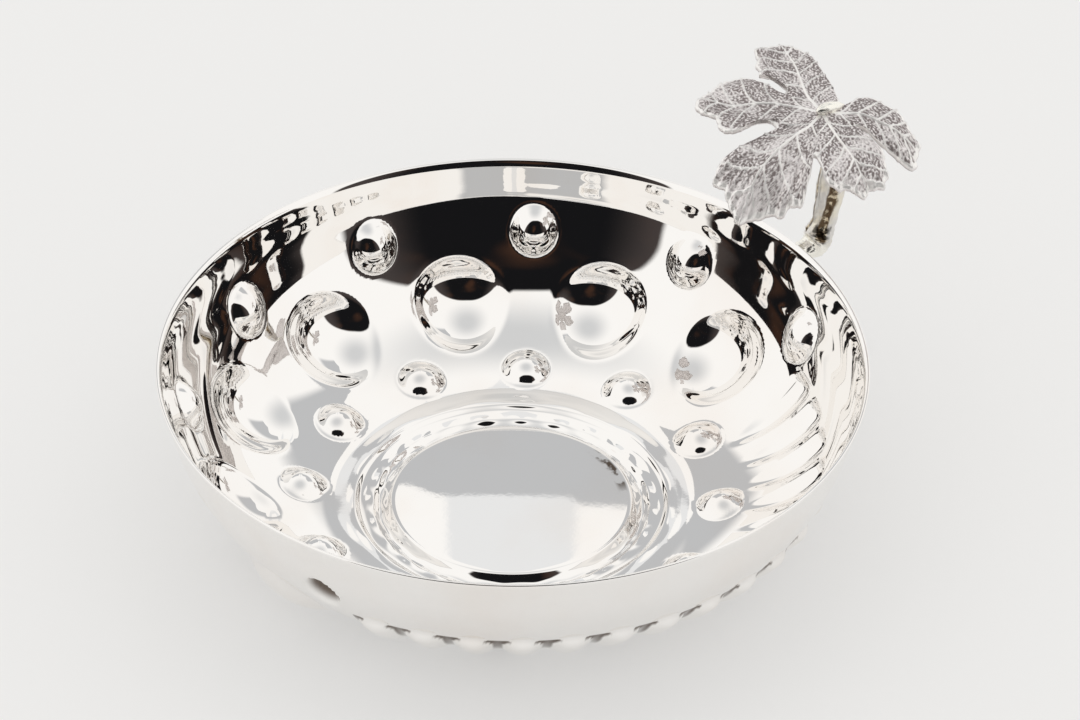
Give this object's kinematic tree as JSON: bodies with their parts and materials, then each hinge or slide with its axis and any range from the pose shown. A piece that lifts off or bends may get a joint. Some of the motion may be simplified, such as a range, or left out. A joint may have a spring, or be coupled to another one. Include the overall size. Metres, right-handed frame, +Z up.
{
  "type": "tastevin",
  "caption": "Shallow silver wine-tasting bowl with punched cups, bosses and flutes round a central dome, and a cast twig carrying a vine-leaf thumb-piece over the rim.",
  "frame": {"origin": "on the bowl's axis, on the plane of the flat foot ring that the bowl stands on", "axes": "+Z up along the bowl's axis, +X from the axis towards the handle"},
  "size_m": [0.0971, 0.085, 0.0416],
  "materials": {
    "polished_silver": "mirror polished",
    "twig_silver": "cast, bark-like, toned in the hollows",
    "leaf_silver": "cast, matted, bright on veins and edges"
  },
  "bodies": {
    "root": {"bowl": "polished_silver", "handle_stem": "twig_silver", "leaf": "leaf_silver"}
  },
  "joints": []
}
